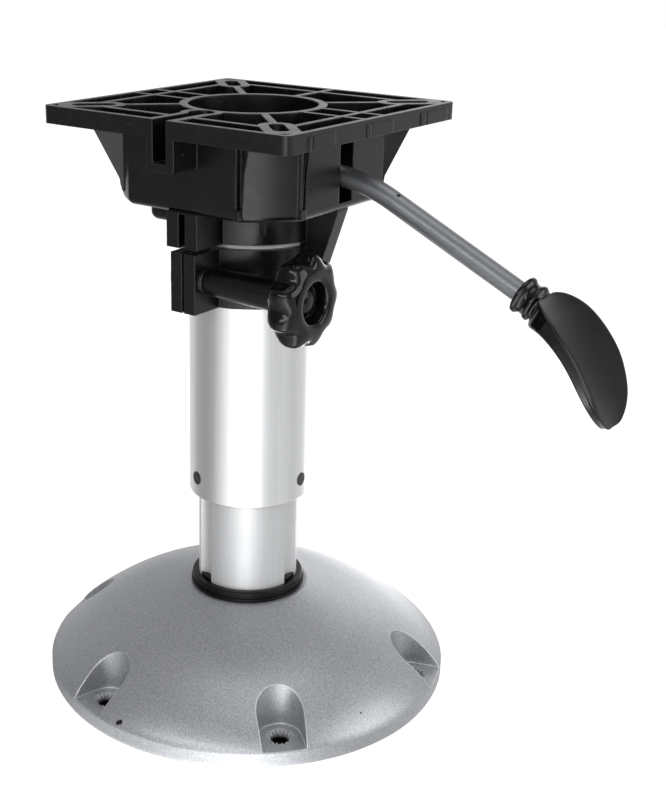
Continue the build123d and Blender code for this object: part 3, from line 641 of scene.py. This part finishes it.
def studioWorld():
    world = bpy.data.worlds.new("Soft white studio")
    bpy.context.scene.world = world
    world.use_nodes = True
    tree = world.node_tree
    tree.nodes.clear()
    path = addNode(tree, "ShaderNodeLightPath")
    seen = addNode(tree, "ShaderNodeMath", {"operation": "MAXIMUM"},
                   {0: (path, "Is Camera Ray"), 1: (path, "Is Transmission Ray")})
    heading = addNode(tree, "ShaderNodeTexCoord")
    room = roomLevel(tree, heading, "Generated")
    sky = addNode(tree, "ShaderNodeMath", {"operation": "MULTIPLY", 1: stageLook["skyShare"]},
                  {0: (room, "Value")})
    air = addNode(tree, "ShaderNodeBackground", {"Color": (1, 1, 1, 1), "Strength": stageLook["airLevel"]})
    height = addNode(tree, "ShaderNodeSeparateXYZ", links={"Vector": (heading, "Generated")})
    high = addNode(tree, "ShaderNodeMapRange",
                   {"interpolation_type": "SMOOTHSTEP", "From Min": stageLook["fadeFrom"],
                    "From Max": stageLook["fadeTo"]},
                   {"Value": (height, "Z")})
    faded = addNode(tree, "ShaderNodeMix", {"data_type": "FLOAT", 3: stageLook["ceiling"]},
                    {0: (high, "Result"), 2: (sky, "Value")})
    mirrored = addNode(tree, "ShaderNodeBackground", {"Color": (1, 1, 1, 1)}, {"Strength": (faded, 0)})
    white = addNode(tree, "ShaderNodeBackground", {"Color": (1, 1, 1, 1), "Strength": 1.0})
    first = addNode(tree, "ShaderNodeMixShader",
                    links={0: (path, "Is Glossy Ray"), 1: (air, "Background"), 2: (mirrored, "Background")})
    second = addNode(tree, "ShaderNodeMixShader",
                     links={0: (seen, "Value"), 1: (first, "Shader"), 2: (white, "Background")})
    addNode(tree, "ShaderNodeOutputWorld", links={"Surface": (second, "Shader")})


def softLamp(name, place, aim, width, height, power):
    data = bpy.data.lights.new(name, "AREA")
    data.shape = "RECTANGLE"
    data.size, data.size_y, data.energy = width, height, power
    lamp = bpy.data.objects.new(name, data)
    lamp.location = place
    lamp.rotation_euler = (Vector(aim) - Vector(place)).to_track_quat("-Z", "Y").to_euler()
    bpy.context.scene.collection.objects.link(lamp)


# the photograph's camera: place in metres, angles in degrees, lens and sensor in mm
cameraView = {"place": (0.5724, -0.7687, 0.5635), "heading": 126.60, "pitch": -19.72, "roll": 0.71,
              "lens": 62.74, "sensor": 36.0, "shift": 0.1034, "near": 0.01}


def photoCamera():
    data = bpy.data.cameras.new("photo camera")
    data.sensor_width = cameraView["sensor"]
    data.lens = cameraView["lens"]
    data.shift_x = cameraView["shift"]
    data.clip_start = cameraView["near"]
    camera = bpy.data.objects.new("photo camera", data)
    bpy.context.scene.collection.objects.link(camera)
    turn = Matrix.Rotation(math.radians(cameraView["heading"] - 90), 4, "Z")
    tip = Matrix.Rotation(math.radians(cameraView["pitch"] + 90), 4, "X")
    roll = Matrix.Rotation(math.radians(cameraView["roll"]), 4, "Z")
    camera.matrix_world = Matrix.Translation(Vector(cameraView["place"])) @ turn @ tip @ roll
    bpy.context.scene.camera = camera


whiteFloor()
studioWorld()
for lamp in stageLook["lamps"]:
    softLamp(*lamp)
photoCamera()
bpy.context.scene.view_settings.view_transform = "Standard"
print("stage, lamps and camera")
